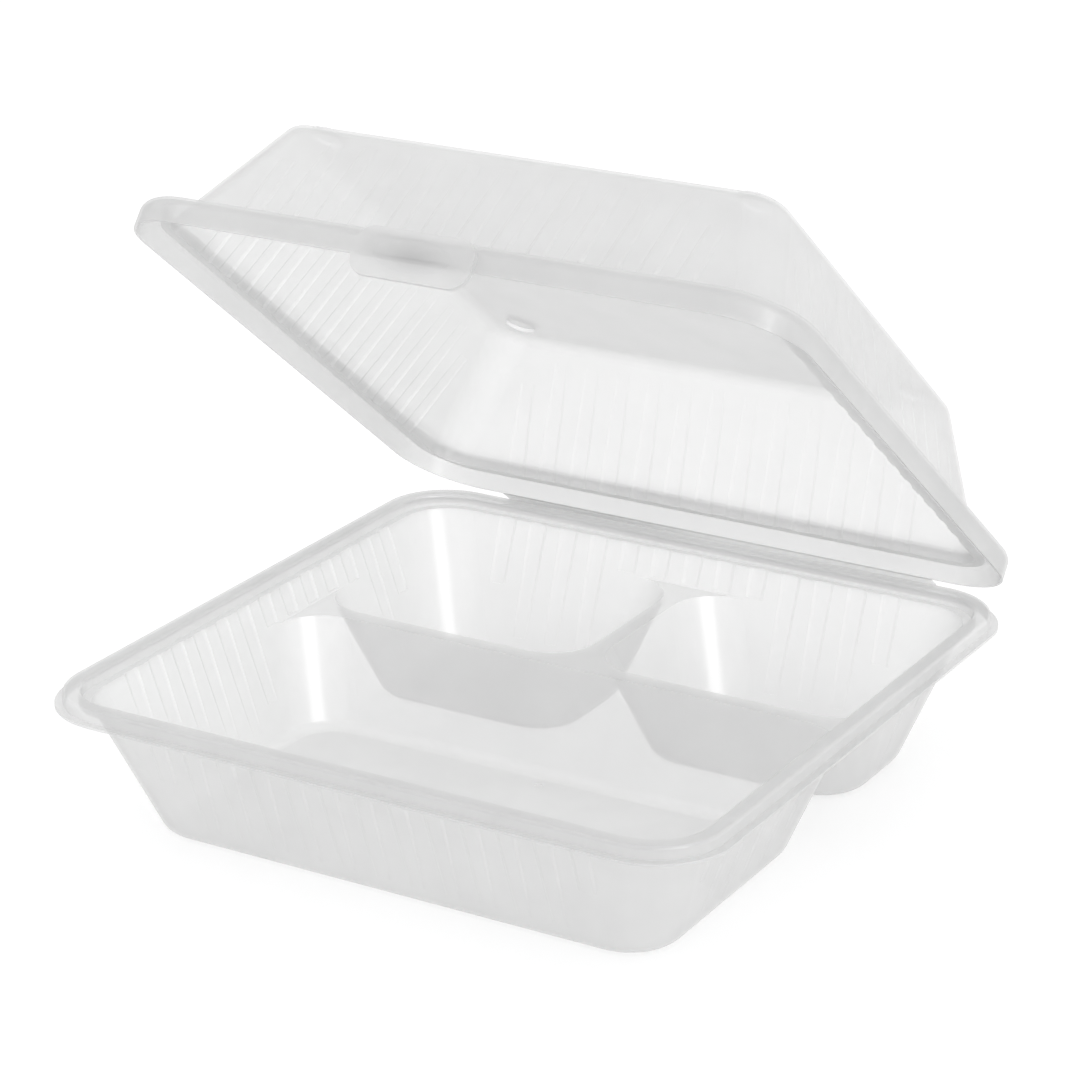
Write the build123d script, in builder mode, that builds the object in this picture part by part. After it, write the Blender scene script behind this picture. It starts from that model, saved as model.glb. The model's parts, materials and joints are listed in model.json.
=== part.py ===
"""Clear three compartment takeout container, tray and lid joined by a living hinge, lid standing open."""
import os
from math import cos, radians, sin, tan

from build123d import *

os.makedirs("parts", exist_ok=True)

# overall sizes in mm
overall = 228.6
flange_corner = 25.0
wall = 0.8

# tray
tray_height = 48.4
draft = 19.5
bead_height = 4.0
bead_width = 5.6
bead_round = 1.1
flange_reach = 2.5
ledge_width = 2.4
corner_round = 18.0
floor_round = 4.5
gate_wide = 3.0
gate_deep = 0.3

# dividers
divider_drop = 10.1
land_width = 5.9
rear_depth = 75.4

# lid
seat_gap = 0.4
skirt_gap = 0.6
skirt_height = 9.4
skirt_shoulder = 4.0
lid_ledge_rise = 4.2
ring_width = 6.3
moat_width = 2.4
lid_height = 48.9
lid_draft = 22.4
lid_corner = 12.0
lid_top_round = 6.0
nub_wide = 12.0
nub_tall = 1.2
nub_inset = 11.2

# latch tab on the front of the lid
tab_wide = 40.0
tab_drop = 7.0
tab_place = -4.0
tab_corner = 6.0
tab_thick = 1.6
tab_gap = 0.5
tab_lift = 0.8
tab_round = 1.0
dish_wide = 26.0
dish_tall = 10.0
dish_deep = 0.6

# flutes pressed into every upright wall
flute_pitch = 12.1
flute_count = 13
flute_deep = 0.5
flute_soft = 1.3
flute_sink = 0.08
flute_fade = 0.6
flute_foot = 3.0
flute_room = 0.8

# living hinge
hinge_reach = 5.0
hinge_thick = 0.4
hinge_round = 0.9
hinge_end_gap = 8.0
open_angle = 38.0

# places in the tray
half = overall / 2
slope = tan(radians(draft))
side = wall / cos(radians(draft))
ledge_top = tray_height - bead_height
bead_out = half - flange_reach
bead_in = bead_out - bead_width
mouth = bead_in - ledge_width
land_top = ledge_top - divider_drop
land_back = mouth - divider_drop * slope - rear_depth
land_front = land_back - land_width
land_side = land_width / 2

# places in the shut lid
seat = ledge_top + seat_gap
skirt_in = bead_out + skirt_gap
skirt_out = skirt_in + wall
skirt_top = seat + skirt_height
lid_ledge = seat + lid_ledge_rise
ring_in = skirt_in - ring_width
moat_out = ring_in - wall
dome_foot = moat_out - moat_width
lid_slope = tan(radians(lid_draft))
lid_side = wall / cos(radians(lid_draft))
lid_top = seat + lid_height
lid_inside = lid_top - wall
nub_place = dome_foot - (lid_top - lid_ledge) * lid_slope - nub_inset
tab_in = half + tab_gap
tab_out = tab_in + tab_thick
tab_top = skirt_top - tab_round
tab_middle = (tab_top + seat - tab_drop) / 2

# places of the hinge
hinge_y = half + hinge_reach
hinge_z = ledge_top + seat_gap / 2
hinge_lift = (seat_gap + wall) / 2
hinge_half = half - flange_corner - hinge_end_gap
hinge_line = Axis((0, hinge_y, hinge_z), (1, 0, 0))


def reach(z):
    """Half the basin's width inside the walls at height z."""
    return mouth - (ledge_top - z) * slope


def front_edge(z):
    """Inside face of the front compartment against the cross divider at height z."""
    return land_front - (land_top - z) * slope


def back_edge(z):
    """Inside face of a rear compartment against the cross divider at height z."""
    return land_back + (land_top - z) * slope


def side_edge(z):
    """Inside face of a rear compartment against the middle divider at height z."""
    return land_side + (land_top - z) * slope


def pockets(z, grow):
    """Centre and size of the three compartments at height z, grown outwards."""
    far = reach(z) + grow
    near = front_edge(z) + grow
    rear = back_edge(z) - grow
    inner = side_edge(z) - grow
    front = ((0, (near - far) / 2), 2 * far, near + far)
    right = (((inner + far) / 2, (rear + far) / 2), far - inner, far - rear)
    left = ((-(inner + far) / 2, (rear + far) / 2), far - inner, far - rear)
    return (front, right, left)


def tapered(wide, narrow, place, width, depth, taper, turn):
    """Block with leaning walls and rounded upright corners, sized at its wide end."""
    with BuildPart(mode=Mode.PRIVATE) as block:
        with BuildSketch():
            Rectangle(width, depth)
        extrude(amount=abs(narrow - wide), taper=taper)
        fillet(block.edges().filter_by(lambda edge: abs(edge.tangent_at(0.5).Z) > 0.5), radius=turn)
    upright = block.part if narrow > wide else block.part.mirror(Plane.XY)
    return upright.moved(Location((place[0], place[1], wide)))


def dome_reach(z):
    """Half the width of the shut lid's dome outside the walls at height z."""
    return dome_foot - (z - lid_ledge) * lid_slope


def flute_plane(turn, place, out, z, lean, rise):
    """Plane across a flute where it starts, on the wall that faces the given turn."""
    ahead = Vector(cos(radians(turn)), sin(radians(turn)), 0)
    along = Vector(-sin(radians(turn)), cos(radians(turn)), 0)
    way = ahead * -sin(radians(lean)) + Vector(0, 0, rise * cos(radians(lean)))
    return Plane(origin=ahead * out + along * place + Vector(0, 0, z), x_dir=along * -rise, z_dir=way)


def flute_room_at(turn, place, z):
    """Room left beside one tray flute on the straight part of its wall at height z."""
    across = place if turn == 0 else -place
    need = flute_half + flute_soft + flute_room + corner_round
    room = reach(z) - abs(place) - need
    if turn in (0, 180):
        room = min(room, max(front_edge(z) - across, across - back_edge(z)) - need)
    if turn == 90:
        room = min(room, abs(place) - side_edge(z) - need)
    return room


# each tray flute runs down its wall as far as the wall stays straight
flute_half = flute_pitch / 4
flute_top = ledge_top + 2 * wall
flute_low = wall + floor_round * (1 - sin(radians(draft))) + flute_foot
stub_low = land_top + flute_room
levels = [flute_low + (land_top - flute_low) * step / 12 for step in range(13)]
places = [(index - (flute_count - 1) / 2) * flute_pitch for index in range(flute_count)]
tray_flutes = {}
for turn in (0, 90, 180, 270):
    for place in places:
        if flute_room_at(270, place, ledge_top) > 0:
            low = next((z for z in levels if flute_room_at(turn, place, z) > 0), stub_low)
            tray_flutes.setdefault(low, []).append((turn, place))

# the lid's flutes run up the dome in the same way
lid_high = lid_top - lid_top_round * (1 - sin(radians(lid_draft))) - flute_foot
lid_levels = [lid_high - (lid_high - lid_ledge - flute_foot) * step / 12 for step in range(13)]
lid_flutes = {}
for place in places:
    beside = abs(place) + flute_half + flute_soft + flute_room + lid_corner
    tops = [z for z in lid_levels if dome_reach(z) > beside]
    if tops:
        lid_flutes.setdefault(tops[0], []).extend((turn, place) for turn in (0, 90, 180, 270))

with BuildSketch(mode=Mode.PRIVATE) as flute_shape:
    # soft band across a flute, its edges sunk a little into the wall
    foot = flute_half + flute_soft
    crest = flute_half - flute_soft
    middle = (flute_deep - flute_sink) / 2
    with BuildLine():
        TangentArc((-foot, -flute_sink), (-flute_half, middle), tangent=(1, 0))
        TangentArc((-crest, flute_deep), (-flute_half, middle), tangent=(-1, 0))
        Line((-crest, flute_deep), (crest, flute_deep))
        TangentArc((crest, flute_deep), (flute_half, middle), tangent=(1, 0))
        TangentArc((foot, -flute_sink), (flute_half, middle), tangent=(-1, 0))
        Polyline((foot, -flute_sink), (foot, -wall / 2), (-foot, -wall / 2), (-foot, -flute_sink))
    make_face()

with BuildPart(mode=Mode.PRIVATE) as tray_bands:
    # bands that stand out where the flutes are pressed through the tray's walls
    start = ledge_top - wall / 2
    for low, group in tray_flutes.items():
        planes = [flute_plane(*flute, reach(start) + side, start, draft + flute_fade, -1) for flute in group]
        with BuildSketch(*planes):
            add(flute_shape.sketch)
        extrude(amount=(start - low) / cos(radians(draft)), clean=False)

with BuildPart(mode=Mode.PRIVATE) as tray_grooves:
    # the same flutes on the inside
    for low, group in tray_flutes.items():
        planes = [flute_plane(*flute, reach(flute_top), flute_top, draft + flute_fade, -1) for flute in group]
        with BuildSketch(*planes):
            add(flute_shape.sketch)
        extrude(amount=(flute_top - low) / cos(radians(draft)), clean=False)

with BuildPart(mode=Mode.PRIVATE) as basin:
    # inside of the three compartments, and of the tray above the dividers
    for place, width, depth in pockets(land_top, 0):
        add(tapered(land_top, wall, place, width, depth, draft, corner_round))
    fillet(basin.edges().group_by(Axis.Z)[0], radius=floor_round)
    width = 2 * reach(flute_top)
    add(tapered(flute_top, land_top, (0, 0), width, width, draft, corner_round))
    add(tray_grooves.part, clean=False)

    # mark where the plastic was let into the mould
    with BuildSketch(Plane.XY.offset(wall)):
        Circle(gate_wide / 2)
    extrude(amount=-gate_deep, clean=False)

with BuildPart() as tray:
    # outside of the three compartments, and of the tray above the dividers
    under = land_top - wall
    for place, width, depth in pockets(under, side):
        add(tapered(under, 0, place, width, depth, draft, corner_round + wall))
    fillet(tray.edges().group_by(Axis.Z)[0], radius=floor_round + wall)
    width = 2 * (mouth + side)
    add(tapered(ledge_top, under, (0, 0), width, width, draft, corner_round + wall))
    add(tray_bands.part, clean=False)

    # flange and hollow bead round the rim
    with BuildSketch(Plane.XY.offset(ledge_top - wall)):
        RectangleRounded(overall, overall, flange_corner)
    extrude(amount=wall, clean=False)
    with BuildSketch(Plane.XY.offset(ledge_top)):
        RectangleRounded(2 * bead_out, 2 * bead_out, flange_corner - flange_reach)
        RectangleRounded(2 * bead_in, 2 * bead_in, flange_corner - half + bead_in, mode=Mode.SUBTRACT)
    extrude(amount=bead_height, clean=False)
    fillet(tray.edges().group_by(Axis.Z)[-1], radius=bead_round)
    channel_out = bead_out - wall
    channel_in = bead_in + wall
    inner_turn = flange_corner - half + channel_in
    with BuildSketch(Plane.XY.offset(ledge_top - wall)):
        RectangleRounded(2 * channel_out, 2 * channel_out, flange_corner - half + channel_out)
        RectangleRounded(2 * channel_in, 2 * channel_in, inner_turn, mode=Mode.SUBTRACT)
    extrude(amount=bead_height, mode=Mode.SUBTRACT, clean=False)
    add(basin.part, mode=Mode.SUBTRACT)
tray.part.label = "tray"
export_step(tray.part, "parts/tray.step")

with BuildPart(mode=Mode.PRIVATE) as lid_bands:
    # bands that stand out where the flutes are pressed through the lid's walls
    start = lid_ledge + wall / 2
    for high, group in lid_flutes.items():
        planes = [flute_plane(*flute, dome_reach(start), start, lid_draft + flute_fade, 1) for flute in group]
        with BuildSketch(*planes):
            add(flute_shape.sketch)
        extrude(amount=(high - start) / cos(radians(lid_draft)), clean=False)

with BuildPart(mode=Mode.PRIVATE) as lid_grooves:
    # the same flutes on the inside
    start = lid_ledge - 2 * wall
    inside = dome_reach(start) - lid_side
    for high, group in lid_flutes.items():
        planes = [flute_plane(*flute, inside, start, lid_draft + flute_fade, 1) for flute in group]
        with BuildSketch(*planes):
            add(flute_shape.sketch)
        extrude(amount=(high - start) / cos(radians(lid_draft)), clean=False)

with BuildPart(mode=Mode.PRIVATE) as lid_hollow:
    # inside of the dome
    width = 2 * (dome_reach(start) - lid_side)
    add(tapered(start, lid_inside, (0, 0), width, width, lid_draft, lid_corner - wall))
    fillet(lid_hollow.edges().group_by(Axis.Z)[-1], radius=lid_top_round - wall)
    with BuildSketch(Plane.XY.offset(lid_inside)):
        with GridLocations(2 * nub_place, 2 * nub_place, 2, 2):
            Circle(nub_wide / 2 - wall)
    extrude(amount=nub_tall, clean=False)
    add(lid_grooves.part, clean=False)

with BuildPart(mode=Mode.PRIVATE) as rim_hollow:
    # space under the lid's rim that takes the tray's bead
    with BuildSketch(Plane.XY.offset(seat - wall)):
        RectangleRounded(2 * skirt_in, 2 * skirt_in, flange_corner - half + skirt_in)
    extrude(amount=skirt_height)
    fillet(rim_hollow.edges().group_by(Axis.Z)[-1], radius=skirt_shoulder - wall)
    with BuildSketch(Plane.XY.offset(lid_ledge)):
        RectangleRounded(2 * ring_in, 2 * ring_in, flange_corner - half + ring_in)
    extrude(amount=skirt_height, mode=Mode.SUBTRACT)

with BuildPart(mode=Mode.PRIVATE) as shut_lid:
    # skirt with its rounded shoulder, and the moat inside it
    with BuildSketch(Plane.XY.offset(seat)):
        RectangleRounded(2 * skirt_out, 2 * skirt_out, flange_corner - half + skirt_out)
    extrude(amount=skirt_height)
    fillet(shut_lid.edges().group_by(Axis.Z)[-1], radius=skirt_shoulder)
    with BuildSketch(Plane.XY.offset(lid_ledge + wall)):
        RectangleRounded(2 * moat_out, 2 * moat_out, flange_corner - half + moat_out)
    extrude(amount=skirt_height, mode=Mode.SUBTRACT)

    # dome with its flutes and the round nubs that key a stacked tray
    add(tapered(lid_ledge, lid_top, (0, 0), 2 * dome_foot, 2 * dome_foot, lid_draft, lid_corner))
    fillet(shut_lid.edges().group_by(Axis.Z)[-1], radius=lid_top_round)
    add(lid_bands.part, clean=False)
    with BuildSketch(Plane.XY.offset(lid_top)):
        with GridLocations(2 * nub_place, 2 * nub_place, 2, 2):
            Circle(nub_wide / 2)
    extrude(amount=nub_tall, clean=False)
    add(rim_hollow.part, mode=Mode.SUBTRACT, clean=False)
    add(lid_hollow.part, mode=Mode.SUBTRACT, clean=False)

    # lip that the living hinge runs into
    with BuildSketch(Plane.XY.offset(seat)):
        with Locations((0, (skirt_in + half) / 2)):
            Rectangle(2 * hinge_half, half - skirt_in)
    extrude(amount=wall, clean=False)

with BuildPart(mode=Mode.PRIVATE) as latch_tab:
    # plate that hangs outside the tray's flange, with a block that joins it to the skirt
    with BuildSketch(Plane.XZ.offset(tab_in)):
        with Locations((tab_place, tab_middle)):
            RectangleRounded(tab_wide, tab_top - seat + tab_drop, tab_corner)
    extrude(amount=tab_thick)
    with BuildSketch(Plane.XZ.offset(skirt_in)):
        with Locations((tab_place, (tab_top + seat + tab_lift) / 2)):
            Rectangle(tab_wide - 2 * tab_corner, tab_top - seat - tab_lift)
    extrude(amount=tab_in - skirt_in)

    # shallow dish for a fingertip
    spin = (dish_tall ** 2 / 4 - dish_deep ** 2) / (2 * dish_deep)
    with BuildSketch(Plane.XY.offset(tab_middle)):
        with BuildLine():
            ThreePointArc(
                (tab_place - dish_wide / 2, -tab_out),
                (tab_place, dish_deep - tab_out),
                (tab_place + dish_wide / 2, -tab_out),
            )
            Polyline(
                (tab_place - dish_wide / 2, -tab_out),
                (tab_place - dish_wide / 2, -tab_out - spin),
                (tab_place + dish_wide / 2, -tab_out - spin),
                (tab_place + dish_wide / 2, -tab_out),
            )
        make_face()
    revolve(axis=Axis((0, -tab_out - spin, tab_middle), (1, 0, 0)), mode=Mode.SUBTRACT)

with BuildPart() as lid:
    # the lid stands open about the hinge line
    add(shut_lid.part.rotate(hinge_line, -open_angle))
    add(latch_tab.part.rotate(hinge_line, -open_angle))
lid.part.label = "lid"
export_step(lid.part, "parts/lid.step")

with BuildPart() as living_hinge:
    # thin web that bends between the tray's flange and the lid's lip
    turn = radians(open_angle)
    apex_out = hinge_lift / sin(turn / 2)
    tray_end = (half, hinge_z - hinge_lift)
    apex = (hinge_y + apex_out * cos(turn / 2), hinge_z - apex_out * sin(turn / 2))
    lid_end_y = hinge_y - hinge_reach * cos(turn) + hinge_lift * sin(turn)
    lid_end_z = hinge_z + hinge_reach * sin(turn) + hinge_lift * cos(turn)
    with BuildSketch(Plane.YZ.offset(-hinge_half)):
        with BuildLine():
            FilletPolyline(tray_end, apex, (lid_end_y, lid_end_z), radius=hinge_round)
        trace(line_width=hinge_thick)
    extrude(amount=2 * hinge_half)
living_hinge.part.label = "living_hinge"
export_step(living_hinge.part, "parts/living_hinge.step")
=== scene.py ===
"""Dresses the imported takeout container, bends its hinge web with the lid, and sets the studio and camera."""
import json
from math import cos, radians, sin

import bmesh
import bpy
from mathutils import Matrix, Vector


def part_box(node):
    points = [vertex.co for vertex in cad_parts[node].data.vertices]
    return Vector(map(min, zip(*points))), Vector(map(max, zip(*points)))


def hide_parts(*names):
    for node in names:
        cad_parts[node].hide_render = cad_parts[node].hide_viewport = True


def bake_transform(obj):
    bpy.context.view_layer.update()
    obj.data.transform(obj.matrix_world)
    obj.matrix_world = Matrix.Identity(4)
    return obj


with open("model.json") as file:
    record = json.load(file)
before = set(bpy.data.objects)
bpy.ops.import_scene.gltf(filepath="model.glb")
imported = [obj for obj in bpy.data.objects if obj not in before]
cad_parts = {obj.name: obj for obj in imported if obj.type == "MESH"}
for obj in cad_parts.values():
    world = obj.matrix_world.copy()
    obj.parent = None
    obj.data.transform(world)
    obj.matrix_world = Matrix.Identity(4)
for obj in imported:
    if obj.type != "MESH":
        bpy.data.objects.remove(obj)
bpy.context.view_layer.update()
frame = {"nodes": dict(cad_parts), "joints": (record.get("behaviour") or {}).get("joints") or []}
scene = bpy.context.scene

# camera fitted to the photograph, lengths in metres and angles in degrees
VIEW_AZIMUTH = 30.112
VIEW_HEIGHT = 20.676
VIEW_ROLL = 0.166
VIEW_DISTANCE = 1.1420
VIEW_SIDE = 0.0004
VIEW_UP = 0.0785
LENS = 120.24
SENSOR = 36.0

# hinge web, from the frame
lid_joint = frame["joints"][0]
HINGE = Vector(lid_joint["pos_m"])
WEB_THICK = 0.0004
WEB_BEND = 0.0026
WEB_BEND_STEPS = 10
WEB_LONG_EDGE = 0.002
WEB_CUTS = 7
OPEN_ANGLE = -lid_joint["range_deg"][0]

# middle of the latch tab's dish with the lid as it stands, and half sizes and strength of the painted shade in
# it
TAB_MIDDLE = (-0.004, -0.0653, 0.1899)
TAB_SHADE_SIZE = (0.019, 0.008, 0.007)
TAB_SHADE_STRENGTH = 3.0

# heights above the hinge line, along each moulding's own upright, where the painted shade on its thicker rim
# fades in
TRAY_RIM = (-0.002, -0.0005)
LID_SKIRT = (0.0115, 0.0085)

# milky film of the plastic: its greys, the painted shade that darkens the rims and the tab's dish, and how
# much more the thicker rims hide
BODY_DARK = (0.635, 0.635, 0.635)
BODY_LIGHT = (0.665, 0.665, 0.665)
BODY_ROUGH = 0.5
PAINTED_SHADE_DARKER = -0.1
RIM_DENSER = 0.06
HALF_TURNED = 0.7
CLEAR_TINT = (0.992, 0.992, 0.992, 1.0)
LET_THROUGH = -0.53

# flow marks of the moulding, in cycles per metre, and the gloss over the film
FLOW_SCALE = 40.0
FLOW_DETAIL = 2.0
FLOW_LOW = 0.35
FLOW_HIGH = 0.65
GLOSS_FACING = 0.05
GLOSS_EDGE = 0.15
GLOSS_POWER = 5.0

# studio
WHITE = (1.0, 1.0, 1.0, 1.0)
FLOOR_HALF = 20.0
FLOOR_DROP = 0.0003
FLOOR_GREY = (0.95, 0.95, 0.95, 1.0)
FLOOR_ROUGH = 0.9
FLOOR_SPECULAR = 0.1
SEEN_STRENGTH = 1.0
LIGHT_STRENGTH = 0.97
KEY_ENERGY = 0.9
KEY_SPREAD = 30
KEY_TURN = (25, 45, 0)
BOX_WIDE = 0.85
BOX_TALL = 0.75
BOX_ENERGY = 8.0
BOX_TOWARDS = Vector((0.8, -0.45, 0.39))
BOX_FAR = 1.6
BOX_RAISED = Vector((0, 0, 0.05))


def new_material(name):
    """Node material with a Principled shader and the surface socket that it goes to."""
    material = bpy.data.materials.new(name)
    material.use_nodes = True
    tree = material.node_tree
    tree.nodes.clear()
    output = tree.nodes.new("ShaderNodeOutputMaterial")
    shader = tree.nodes.new("ShaderNodeBsdfPrincipled")
    surface = output.inputs["Surface"]
    tree.links.new(shader.outputs["BSDF"], surface)
    return material, tree, shader, surface


def noise(tree, place, scale, detail):
    """Noise pattern at a scale in cycles per metre."""
    pattern = tree.nodes.new("ShaderNodeTexNoise")
    pattern.inputs["Scale"].default_value = scale
    pattern.inputs["Detail"].default_value = detail
    tree.links.new(place, pattern.inputs["Vector"])
    return pattern.outputs["Fac"]


def ramp(tree, factor, low, high):
    """Colour ramp between two colours over the middle of a noise pattern."""
    colours = tree.nodes.new("ShaderNodeValToRGB")
    colours.color_ramp.elements[0].position = FLOW_LOW
    colours.color_ramp.elements[0].color = (*low, 1.0)
    colours.color_ramp.elements[1].position = FLOW_HIGH
    colours.color_ramp.elements[1].color = (*high, 1.0)
    tree.links.new(factor, colours.inputs["Fac"])
    return colours.outputs["Color"]


def span(tree, factor, low, high):
    """Maps a pattern's middle range onto the values from low to high."""
    mapped = tree.nodes.new("ShaderNodeMapRange")
    mapped.inputs["From Min"].default_value = FLOW_LOW
    mapped.inputs["From Max"].default_value = FLOW_HIGH
    mapped.inputs["To Min"].default_value = low
    mapped.inputs["To Max"].default_value = high
    tree.links.new(factor, mapped.inputs["Value"])
    return mapped.outputs["Result"]


def value(tree, operation, *terms):
    """Result of one math node, its terms either sockets or plain numbers."""
    node = tree.nodes.new("ShaderNodeMath")
    node.operation = operation
    for term, socket in zip(terms, node.inputs):
        if isinstance(term, float):
            socket.default_value = term
        else:
            tree.links.new(term, socket)
    return node.outputs["Value"]


def graded(tree, factor, *stops):
    """Grey ramp through the given pairs of position and brightness."""
    ramped = tree.nodes.new("ShaderNodeValToRGB")
    stretch = ramped.color_ramp.elements
    while len(stretch) < len(stops):
        stretch.new(0.5)
    for element, (position, bright) in zip(stretch, stops):
        element.position = position
        element.color = (bright, bright, bright, 1.0)
    tree.links.new(factor, ramped.inputs["Fac"])
    return ramped.outputs["Color"]


def multiplied(tree, first, second):
    """Product of two colours."""
    node = tree.nodes.new("ShaderNodeMix")
    node.data_type = "RGBA"
    node.blend_type = "MULTIPLY"
    node.inputs["Factor"].default_value = 1.0
    tree.links.new(first, node.inputs[6])
    tree.links.new(second, node.inputs[7])
    return node.outputs[2]


def rim_shade(tree, place, up, low, high):
    """Grows from 0 to 1 between two heights above the hinge line, measured along a direction."""
    offset = tree.nodes.new("ShaderNodeVectorMath")
    offset.operation = "SUBTRACT"
    tree.links.new(place, offset.inputs[0])
    offset.inputs[1].default_value = HINGE
    along = tree.nodes.new("ShaderNodeVectorMath")
    along.operation = "DOT_PRODUCT"
    tree.links.new(offset.outputs["Vector"], along.inputs[0])
    along.inputs[1].default_value = up
    mapped = tree.nodes.new("ShaderNodeMapRange")
    mapped.interpolation_type = "SMOOTHSTEP"
    mapped.inputs["From Min"].default_value = low
    mapped.inputs["From Max"].default_value = high
    tree.links.new(along.outputs["Value"], mapped.inputs["Value"])
    return mapped.outputs["Result"]


def tab_shade(tree, place, centre, turn, size):
    """Soft spot in the latch tab's dish, 1 in the middle and 0 at the given half sizes."""
    mapping = tree.nodes.new("ShaderNodeMapping")
    mapping.vector_type = "TEXTURE"
    mapping.inputs["Location"].default_value = centre
    mapping.inputs["Rotation"].default_value = (turn, 0, 0)
    mapping.inputs["Scale"].default_value = size
    tree.links.new(place, mapping.inputs["Vector"])
    spot = tree.nodes.new("ShaderNodeTexGradient")
    spot.gradient_type = "SPHERICAL"
    tree.links.new(mapping.outputs["Vector"], spot.inputs["Vector"])
    return spot.outputs["Fac"]


def clear_plastic(name, clear, milky, rough_low, rough_high, thickness=None):
    """Thin clear plastic: a milky film that hides more edge-on, under a gloss with faint flow marks, its body
    darkened by painted shade where a shade mask is given.
    """
    material, tree, shader, surface = new_material(name)
    place = tree.nodes.new("ShaderNodeTexCoord").outputs["Object"]
    flow = noise(tree, place, FLOW_SCALE, FLOW_DETAIL)
    weight = tree.nodes.new("ShaderNodeLayerWeight")
    weight.inputs["Blend"].default_value = 0.5
    facing = weight.outputs["Facing"]
    back = tree.nodes.new("ShaderNodeNewGeometry").outputs["Backfacing"]
    front = value(tree, "SUBTRACT", 1.0, back)

    # body of the film, darkened by painted shade along the rims and in the tab's dish, and how much of it
    # hides what lies behind, more where the moulding is thicker
    body = ramp(tree, flow, BODY_DARK, BODY_LIGHT)
    cover = graded(tree, facing, (0.0, clear), (HALF_TURNED, (clear + milky) / 2), (1.0, milky))
    if thickness:
        shade_and_thick = thickness(tree, place)
        # painted shade: the body's colour darkens along the rims and in the tab's dish
        body = multiplied(tree, body, value(tree, "MULTIPLY_ADD", shade_and_thick, PAINTED_SHADE_DARKER, 1.0))
        cover = value(tree, "MULTIPLY_ADD", shade_and_thick, RIM_DENSER, cover)
    tree.links.new(body, shader.inputs["Base Color"])
    shader.inputs["Roughness"].default_value = BODY_ROUGH
    shader.inputs["Specular IOR Level"].default_value = 0.0

    # film over what lies behind it, thinner for the light that falls through
    rays = tree.nodes.new("ShaderNodeLightPath")
    falling = value(tree, "MAXIMUM", rays.outputs["Is Shadow Ray"], rays.outputs["Is Diffuse Ray"])
    lit = value(tree, "MULTIPLY_ADD", falling, LET_THROUGH, 1.0)
    through = tree.nodes.new("ShaderNodeBsdfTransparent")
    through.inputs["Color"].default_value = CLEAR_TINT
    film = tree.nodes.new("ShaderNodeMixShader")
    outer = value(tree, "MULTIPLY", cover, front)
    tree.links.new(value(tree, "MULTIPLY", outer, lit), film.inputs["Fac"])
    tree.links.new(through.outputs["BSDF"], film.inputs[1])
    tree.links.new(shader.outputs["BSDF"], film.inputs[2])

    # gloss on top
    gloss = tree.nodes.new("ShaderNodeBsdfGlossy")
    gloss.inputs["Color"].default_value = WHITE
    tree.links.new(span(tree, flow, rough_low, rough_high), gloss.inputs["Roughness"])
    grazing = value(tree, "POWER", facing, GLOSS_POWER)
    share = value(tree, "MULTIPLY_ADD", grazing, GLOSS_EDGE, GLOSS_FACING)
    coated = tree.nodes.new("ShaderNodeMixShader")
    tree.links.new(value(tree, "MULTIPLY", share, front), coated.inputs["Fac"])
    tree.links.new(film.outputs["Shader"], coated.inputs[1])
    tree.links.new(gloss.outputs["BSDF"], coated.inputs[2])
    tree.links.new(coated.outputs["Shader"], surface)
    return material


def tray_shade_and_thickness(tree, place):
    """Painted shade along the tray's rim, where the plastic is also thicker."""
    return rim_shade(tree, place, (0, 0, 1), *TRAY_RIM)


def lid_shade_and_thickness(tree, place):
    """Painted shade along the lid's skirt, where the plastic is also thicker, and a stronger painted shade in
    the latch tab's dish.
    """
    turn = radians(OPEN_ANGLE)
    skirt = rim_shade(tree, place, (0, sin(turn), cos(turn)), *LID_SKIRT)
    # painted shade in the recessed dish of the latch tab
    dish_shade = tab_shade(tree, place, TAB_MIDDLE, -turn, TAB_SHADE_SIZE)
    return value(tree, "ADD", skirt, value(tree, "MULTIPLY", dish_shade, TAB_SHADE_STRENGTH))


# how much each film hides, face-on and edge-on, then its gloss's least and most roughness
tray_plastic = clear_plastic("tray_plastic", 0.43, 0.9, 0.2, 0.26, tray_shade_and_thickness)
lid_plastic = clear_plastic("lid_plastic", 0.43, 0.9, 0.2, 0.26, lid_shade_and_thickness)
web_plastic = clear_plastic("creased_plastic", 0.5, 0.85, 0.29, 0.35)
frame["nodes"]["tray"].material_slots[0].material = tray_plastic
frame["nodes"]["lid"].material_slots[0].material = lid_plastic

# hinge web: a folded strip from the tray's flange to the lid's lip, rounded where it bends
low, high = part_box("living_hinge")
turn = radians(OPEN_ANGLE)
lift = HINGE.z - low.z - WEB_THICK / 2
leg = HINGE.y - low.y
out = lift / sin(turn / 2)
tray_end = Vector((low.x, low.y, HINGE.z - lift))
apex = Vector((low.x, HINGE.y + out * cos(turn / 2), HINGE.z - out * sin(turn / 2)))
lid_end = Vector((
    low.x,
    HINGE.y - leg * cos(turn) + lift * sin(turn),
    HINGE.z + leg * sin(turn) + lift * cos(turn),
))
strip = bmesh.new()
ends = [strip.verts.new(point) for point in (tray_end, apex, lid_end)]
strip.edges.new(ends[:2])
strip.edges.new(ends[1:])
bmesh.ops.bevel(
    strip, geom=[ends[1]], affect="VERTICES", offset=WEB_BEND, offset_type="OFFSET",
    segments=WEB_BEND_STEPS, profile=0.5, material=-1,
)
long_edges = [edge for edge in strip.edges if edge.calc_length() > WEB_LONG_EDGE]
bmesh.ops.subdivide_edges(strip, edges=long_edges, cuts=WEB_CUTS)
grown = bmesh.ops.extrude_edge_only(strip, edges=strip.edges[:])
far_side = [part for part in grown["geom"] if isinstance(part, bmesh.types.BMVert)]
bmesh.ops.translate(strip, vec=(high.x - low.x, 0, 0), verts=far_side)
bmesh.ops.recalc_face_normals(strip, faces=strip.faces[:])
bmesh.ops.solidify(strip, geom=strip.faces[:], thickness=WEB_THICK)
web_mesh = bpy.data.meshes.new("hinge_web")
strip.to_mesh(web_mesh)
strip.free()
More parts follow.
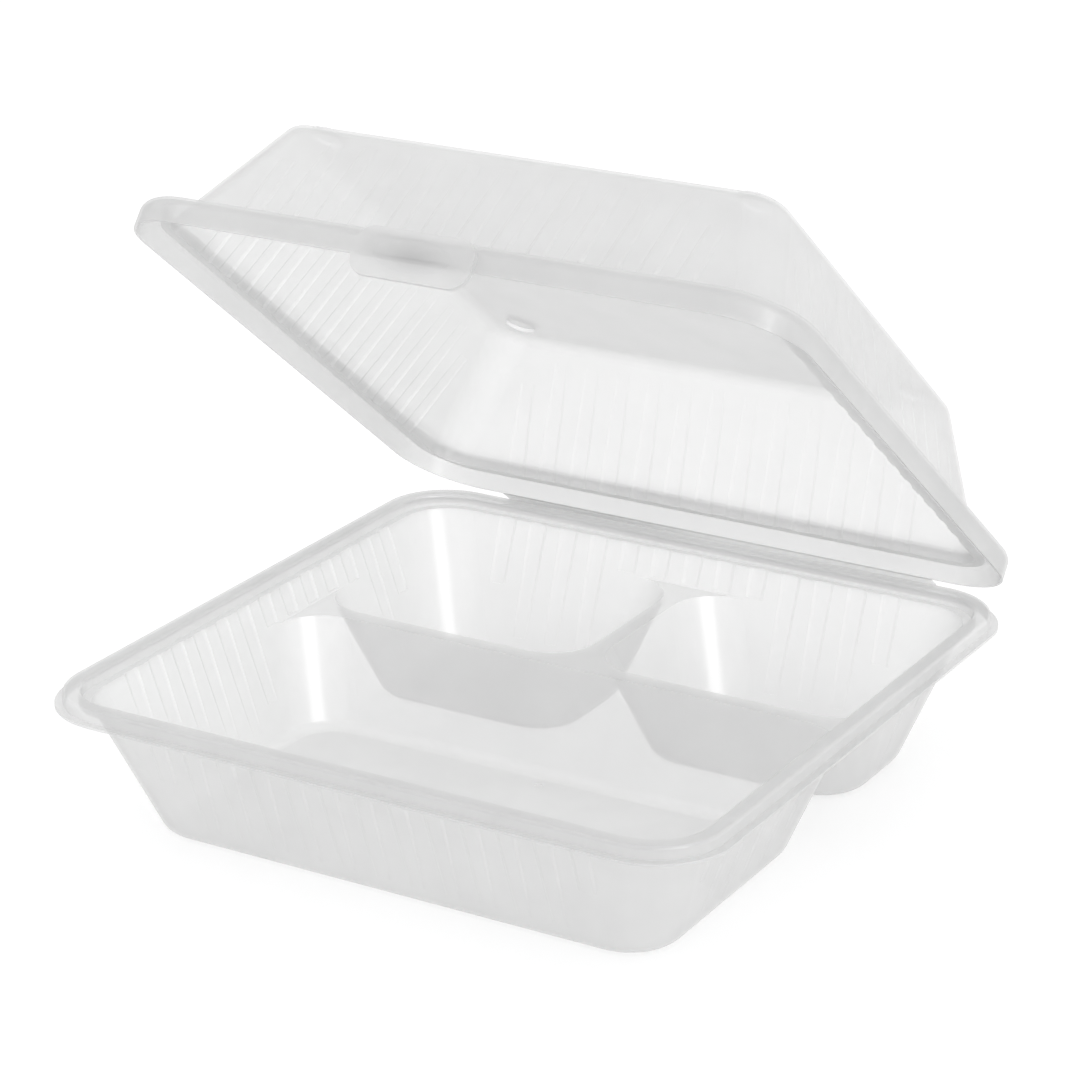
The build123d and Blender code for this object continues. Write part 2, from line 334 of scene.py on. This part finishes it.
web = bpy.data.objects.new("hinge_web", web_mesh)
scene.collection.objects.link(web)
web_mesh.materials.append(web_plastic)
web_mesh.shade_smooth()
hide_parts("living_hinge")
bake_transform(web)

# plain pale floor
floor_mesh = bpy.data.meshes.new("floor")
sheet = bmesh.new()
bmesh.ops.create_grid(sheet, x_segments=1, y_segments=1, size=FLOOR_HALF)
bmesh.ops.translate(sheet, verts=sheet.verts[:], vec=(0, 0, -FLOOR_DROP))
sheet.to_mesh(floor_mesh)
sheet.free()
floor = bpy.data.objects.new("floor", floor_mesh)
scene.collection.objects.link(floor)
floor_paint, _, floor_shader, _ = new_material("floor_paint")
floor_shader.inputs["Base Color"].default_value = FLOOR_GREY
floor_shader.inputs["Roughness"].default_value = FLOOR_ROUGH
floor_shader.inputs["Specular IOR Level"].default_value = FLOOR_SPECULAR
floor_mesh.materials.append(floor_paint)

# white surroundings for the eye and for gloss, and an even plain light for everything else
world = bpy.data.worlds.new("studio")
world.use_nodes = True
scene.world = world
sky = world.node_tree
sky.nodes.clear()
sky_out = sky.nodes.new("ShaderNodeOutputWorld")
seen = sky.nodes.new("ShaderNodeBackground")
seen.inputs["Color"].default_value = WHITE
seen.inputs["Strength"].default_value = SEEN_STRENGTH
lighting = sky.nodes.new("ShaderNodeBackground")
lighting.inputs["Color"].default_value = WHITE
lighting.inputs["Strength"].default_value = LIGHT_STRENGTH
rays = sky.nodes.new("ShaderNodeLightPath")
direct = value(sky, "MAXIMUM", rays.outputs["Is Camera Ray"], rays.outputs["Is Transmission Ray"])
any_seen = value(sky, "MAXIMUM", direct, rays.outputs["Is Glossy Ray"])
choose = sky.nodes.new("ShaderNodeMixShader")
sky.links.new(any_seen, choose.inputs["Fac"])
sky.links.new(lighting.outputs["Background"], choose.inputs[1])
sky.links.new(seen.outputs["Background"], choose.inputs[2])
sky.links.new(choose.outputs["Shader"], sky_out.inputs["Surface"])

# soft key light from above and from the right, left out of the gloss
key_data = bpy.data.lights.new("key", "SUN")
key_data.energy = KEY_ENERGY
key_data.angle = radians(KEY_SPREAD)
key_data.use_shadow = False
key = bpy.data.objects.new("key", key_data)
key.rotation_euler = [radians(turned) for turned in KEY_TURN]
key.visible_glossy = False
scene.collection.objects.link(key)

# softbox that the gloss shows as bright streaks in the corners
box_data = bpy.data.lights.new("softbox", "AREA")
box_data.shape = "RECTANGLE"
box_data.size = BOX_WIDE
box_data.size_y = BOX_TALL
box_data.energy = BOX_ENERGY
box_data.use_shadow = False
softbox = bpy.data.objects.new("softbox", box_data)
softbox.location = BOX_FAR * BOX_TOWARDS + BOX_RAISED
softbox.rotation_euler = BOX_TOWARDS.to_track_quat("Z", "Y").to_euler()
softbox.visible_diffuse = False
scene.collection.objects.link(softbox)

# camera
azimuth = radians(VIEW_AZIMUTH)
height = radians(VIEW_HEIGHT)
roll = radians(VIEW_ROLL)
back = Vector((sin(azimuth) * cos(height), -cos(azimuth) * cos(height), sin(height)))
right = Vector((cos(azimuth), sin(azimuth), 0))
up = back.cross(right)
right, up = cos(roll) * right + sin(roll) * up, cos(roll) * up - sin(roll) * right
camera_data = bpy.data.cameras.new("camera")
camera_data.sensor_width = SENSOR
camera_data.lens = LENS
camera = bpy.data.objects.new("camera", camera_data)
facing = Matrix((right, up, back)).transposed().to_4x4()
stand = VIEW_DISTANCE * back + VIEW_UP * up + VIEW_SIDE * right
camera.matrix_world = Matrix.Translation(stand) @ facing
scene.collection.objects.link(camera)
scene.camera = camera

# plain view, and enough passes through the walls of the clear plastic
scene.view_settings.view_transform = "Standard"
scene.cycles.use_light_tree = False
scene.cycles.transparent_max_bounces = 32
scene.cycles.diffuse_bounces = 2
scene.cycles.glossy_bounces = 2
